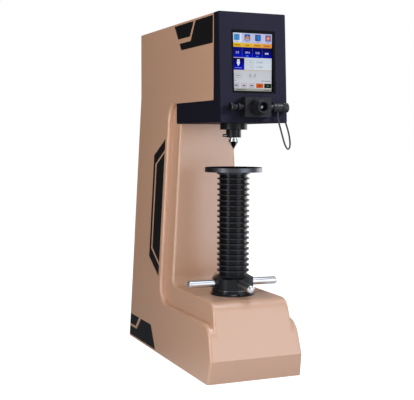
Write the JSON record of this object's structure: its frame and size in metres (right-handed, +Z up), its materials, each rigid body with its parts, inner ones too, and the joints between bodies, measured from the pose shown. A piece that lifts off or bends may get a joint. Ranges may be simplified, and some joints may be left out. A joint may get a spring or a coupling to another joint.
{
  "type": "hardness tester",
  "caption": "Bench hardness tester: cast C-frame body, touch-screen head with measuring eyepiece, motor-driven indenter, and a disc anvil on a lifting screw turned by a hub with handle rods.",
  "frame": {"origin": "on the spindle axis, in the plane of the bench the base stands on", "axes": "+Z up along the spindle and the lifting screw, -Y towards the operator, +X to the operator's right"},
  "size_m": [0.2352, 0.5938, 0.824],
  "materials": {
    "body_paint": "fine satin powder coat, tan",
    "navy_paint": "fine textured coat, dark navy",
    "dark_paint": "satin black coat",
    "black_steel": "blackened, oiled satin",
    "chrome_rod": "polished chrome plate",
    "bright_steel": "ground steel",
    "zinc_steel": "zinc-plated fasteners",
    "black_anodised": "black anodised satin",
    "plain_aluminium": "machined",
    "bronze": "machined bronze",
    "black_plastic": "moulded matt black",
    "gloss_black": "gloss black",
    "screen": "lit display",
    "clear_glass": "clear",
    "board": "green solder mask",
    "black_rubber": "black",
    "trim_film": "black self-adhesive film, satin gloss"
  },
  "bodies": {
    "root": {"frame_casting": "body_paint", "rear_cover": "body_paint", "base_plate": "dark_paint", "base_plate_screws": "zinc_steel", "rear_cover_screws": "zinc_steel", "power_inlet": "black_plastic", "inlet_pins": "bright_steel", "switch_frame": "black_plastic", "data_port": "black_plastic", "front_cover": "navy_paint", "display_bezel": "gloss_black", "display_glass": "clear_glass", "display_panel": "screen", "control_board": "board", "spindle_guide": "black_steel", "guide_rods": "chrome_rod", "bearing_plate": "dark_paint", "screw_bearing": "bright_steel", "drive_motor": "dark_paint", "drive_belt": "black_rubber", "power_supply": "plain_aluminium", "guide_bush": "bronze", "base_ring": "black_steel", "thrust_race_lower": "bright_steel", "thrust_balls": "bright_steel", "guide_post": "bright_steel", "micrometer_body": "black_anodised", "microscope_tube": "black_anodised", "eyepiece_barrel": "black_anodised", "left_collar": "black_anodised", "encoder_housing": "black_anodised", "cable_bush": "black_rubber", "cable_socket": "black_plastic", "cable_plug": "black_plastic", "encoder_cable": "black_rubber", "side_trim": "trim_film"},
    "hub": {"capstan_hub": "black_steel", "lift_nut": "bronze", "handle_rods": "chrome_rod", "thrust_race_upper": "bright_steel"},
    "screw": {"elevating_screw": "black_steel"},
    "anvil": {"anvil": "black_steel"},
    "ball_screw": {"ball_screw": "bright_steel", "screw_pulley": "plain_aluminium"},
    "motor_rotor": {"motor_shaft": "bright_steel", "motor_pulley": "plain_aluminium"},
    "load_train": {"crosshead": "bright_steel", "ball_nut": "bright_steel", "load_cell": "plain_aluminium", "loading_spindle": "black_steel", "indenter_holder": "chrome_rod", "indenter_ball": "bright_steel"},
    "clamp_screw": {"clamp_screw": "bright_steel"},
    "left_knob": {"left_knob": "black_anodised"},
    "right_knob": {"right_knob": "black_anodised"},
    "left_line": {"left_line_plate": "clear_glass"},
    "right_line": {"right_line_plate": "clear_glass"},
    "eyepiece": {"eyepiece_ring": "black_anodised", "eyepiece_lens": "clear_glass"},
    "rocker": {"power_switch": "black_plastic"}
  },
  "joints": [
    {"name": "hub_turn", "type": "hinge", "parent": "root", "child": "hub", "pos_m": [0, 0, 0.2047], "axis": [0, 0, 1], "range_deg": [-960, 4240]},
    {"name": "screw_lift", "type": "slide", "parent": "root", "child": "screw", "axis": [0, 0, 1], "range_m": [-0.15, 0.034]},
    {"name": "anvil_turn", "type": "hinge", "parent": "screw", "child": "anvil", "pos_m": [0, 0, 0.47], "axis": [0, 0, 1], "continuous": true},
    {"name": "ball_screw_turn", "type": "hinge", "parent": "root", "child": "ball_screw", "pos_m": [0, 0, 0.773], "axis": [0, 0, 1], "range_deg": [0, 432]},
    {"name": "motor_turn", "type": "hinge", "parent": "root", "child": "motor_rotor", "pos_m": [0, 0.11, 0.773], "axis": [0, 0, 1], "range_deg": [0, 864]},
    {"name": "indenter_feed", "type": "slide", "parent": "root", "child": "load_train", "axis": [0, 0, -1], "range_m": [0, 0.006]},
    {"name": "clamp_screw_turn", "type": "hinge", "parent": "load_train", "child": "clamp_screw", "pos_m": [-0.018, 0, 0.5514], "axis": [-1, 0, 0], "range_deg": [0, 720]},
    {"name": "left_knob_turn", "type": "hinge", "parent": "root", "child": "left_knob", "pos_m": [-0.05, -0.121, 0.6135], "axis": [1, 0, 0], "range_deg": [-2880, 2880]},
    {"name": "right_knob_turn", "type": "hinge", "parent": "root", "child": "right_knob", "pos_m": [0.06, -0.121, 0.6135], "axis": [1, 0, 0], "range_deg": [-2880, 2880]},
    {"name": "left_line_slide", "type": "slide", "parent": "root", "child": "left_line", "axis": [1, 0, 0], "range_m": [-0.004, 0.004]},
    {"name": "right_line_slide", "type": "slide", "parent": "root", "child": "right_line", "axis": [1, 0, 0], "range_m": [-0.004, 0.004]},
    {"name": "eyepiece_focus", "type": "hinge", "parent": "root", "child": "eyepiece", "pos_m": [0, -0.145, 0.6135], "axis": [0, -1, 0], "range_deg": [-120, 120]},
    {"name": "power_switch_rock", "type": "hinge", "parent": "root", "child": "rocker", "pos_m": [0, 0.426, 0.1005], "axis": [1, 0, 0], "range_deg": [0, 12]}
  ],
  "couplings": [
    {"joint": "screw_lift", "follows": "hub_turn", "m_per_rad": -0.002026},
    {"joint": "motor_turn", "follows": "ball_screw_turn", "ratio": 2},
    {"joint": "indenter_feed", "follows": "ball_screw_turn", "m_per_rad": 0.0007957},
    {"joint": "left_line_slide", "follows": "left_knob_turn", "m_per_rad": 0.00007957},
    {"joint": "right_line_slide", "follows": "right_knob_turn", "m_per_rad": 0.00007957}
  ]
}
